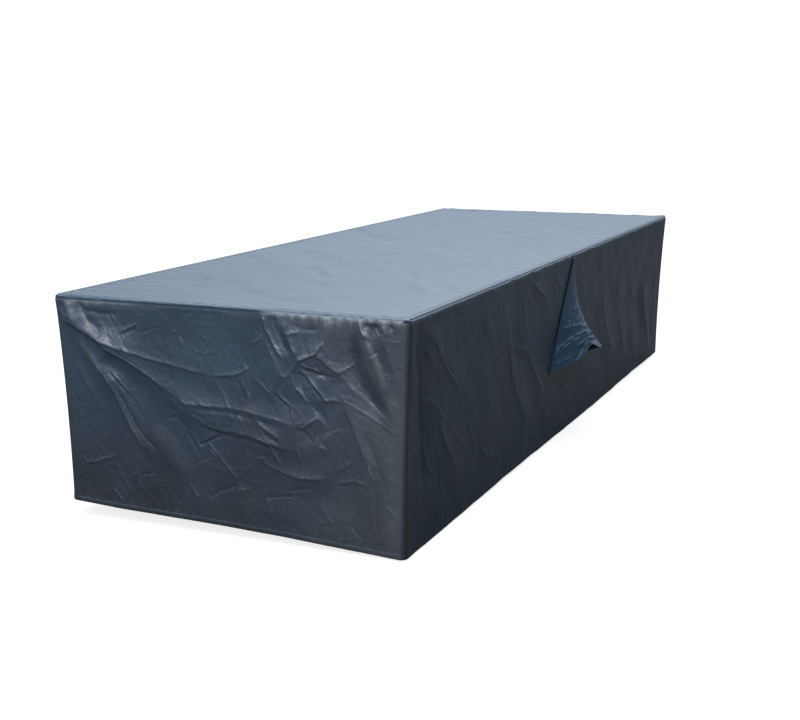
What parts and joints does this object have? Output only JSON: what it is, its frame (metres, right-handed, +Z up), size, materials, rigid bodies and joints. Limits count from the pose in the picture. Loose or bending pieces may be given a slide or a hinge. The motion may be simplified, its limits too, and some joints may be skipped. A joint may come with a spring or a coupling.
{
  "type": "lounge chair cover",
  "caption": "Box-shaped fitted weather cover of dark slate coated cloth for a lounge chair, open below, with a vent hood on one long side.",
  "frame": {"origin": "the underside of the top panel, at the middle of its length and width, where the covered chair carries it", "axes": "+Y along the length towards the back end, +X towards the side with the vent hood, +Z up"},
  "size_m": [0.8212, 2.1028, 0.4426],
  "materials": {
    "top_cloth": "plain-woven polyester with a thin coating, satin sheen, slate blue-grey",
    "skirt_cloth": "plain-woven polyester with a thin coating, satin sheen, dark slate blue-grey, creased from folding",
    "hood_cloth": "the same coated polyester, slightly bluer"
  },
  "bodies": {
    "root": {"top_panel": "top_cloth", "front_panel": "skirt_cloth", "back_panel": "skirt_cloth", "side_panel_right": "skirt_cloth", "side_panel_left": "skirt_cloth", "vent_hood": "hood_cloth"}
  },
  "joints": []
}
